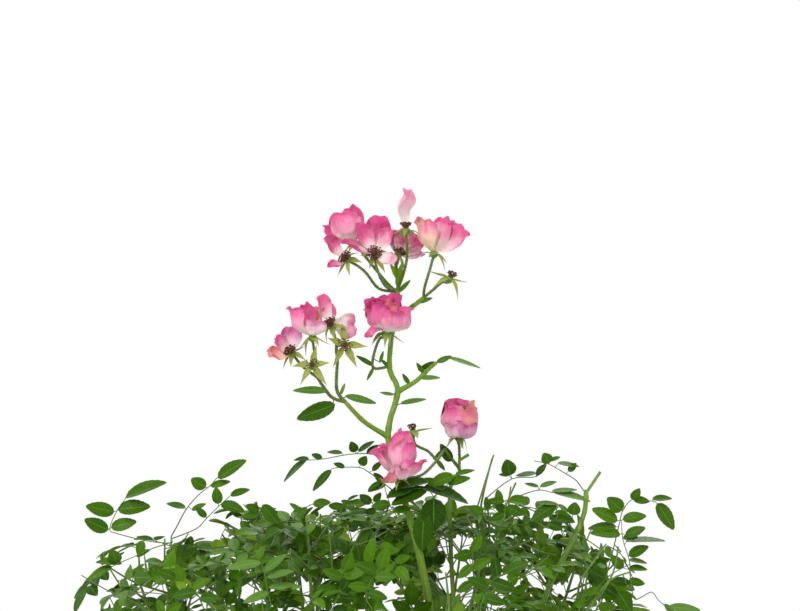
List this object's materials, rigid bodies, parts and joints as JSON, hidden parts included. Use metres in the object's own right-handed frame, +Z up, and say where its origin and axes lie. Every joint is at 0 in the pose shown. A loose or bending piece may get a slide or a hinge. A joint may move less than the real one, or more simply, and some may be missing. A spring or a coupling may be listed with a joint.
{
  "type": "rose bush",
  "caption": "Rose bush rooted in the ground: a short woody stem, arching green canes, a low dome of leaves and one tall cane with clusters of pink blooms.",
  "frame": {"origin": "middle of the flat cut under the woody stem, at ground level", "axes": "+Z up, +X to the right and -Y towards the side that the tall flowering cane leans to"},
  "size_m": [0.5398, 0.4888, 0.6595],
  "materials": {
    "bark": "rough weathered bark",
    "cane": "smooth living skin, satin",
    "leaf": "living leaf, soft sheen",
    "petal": "thin petal, matt"
  },
  "bodies": {
    "root": {"bloom_middle": "petal", "blooms_left": "petal", "blooms_low": "petal", "blooms_top": "petal", "blooms_top_right": "petal", "bough_1": "cane", "bough_2": "cane", "bough_3": "cane", "bough_4": "cane", "bough_left": "cane", "bough_right": "cane", "bough_top_right": "cane", "cane_1": "cane", "cane_2": "cane", "cane_3": "cane", "cane_4": "cane", "cane_5": "cane", "cane_6": "cane", "cane_7": "cane", "cane_8": "cane", "cane_low_right": "cane", "cane_middle": "cane", "cane_right": "cane", "flowering_cane": "cane", "foliage_outer_1": "leaf", "foliage_outer_2": "leaf", "foliage_outer_3": "leaf", "foliage_outer_4": "leaf", "foliage_outer_5": "leaf", "foliage_outer_6": "leaf", "foliage_outer_7": "leaf", "foliage_outer_8": "leaf", "foliage_upper_1": "leaf", "foliage_upper_2": "leaf", "foliage_upper_3": "leaf", "foliage_upper_4": "leaf", "foliage_upper_5": "leaf", "leaf_front": "leaf", "leaf_left_lower": "leaf", "leaf_left_upper": "leaf", "leaves_far_right": "leaf", "leaves_right": "leaf", "root_stem": "bark"}
  },
  "joints": []
}
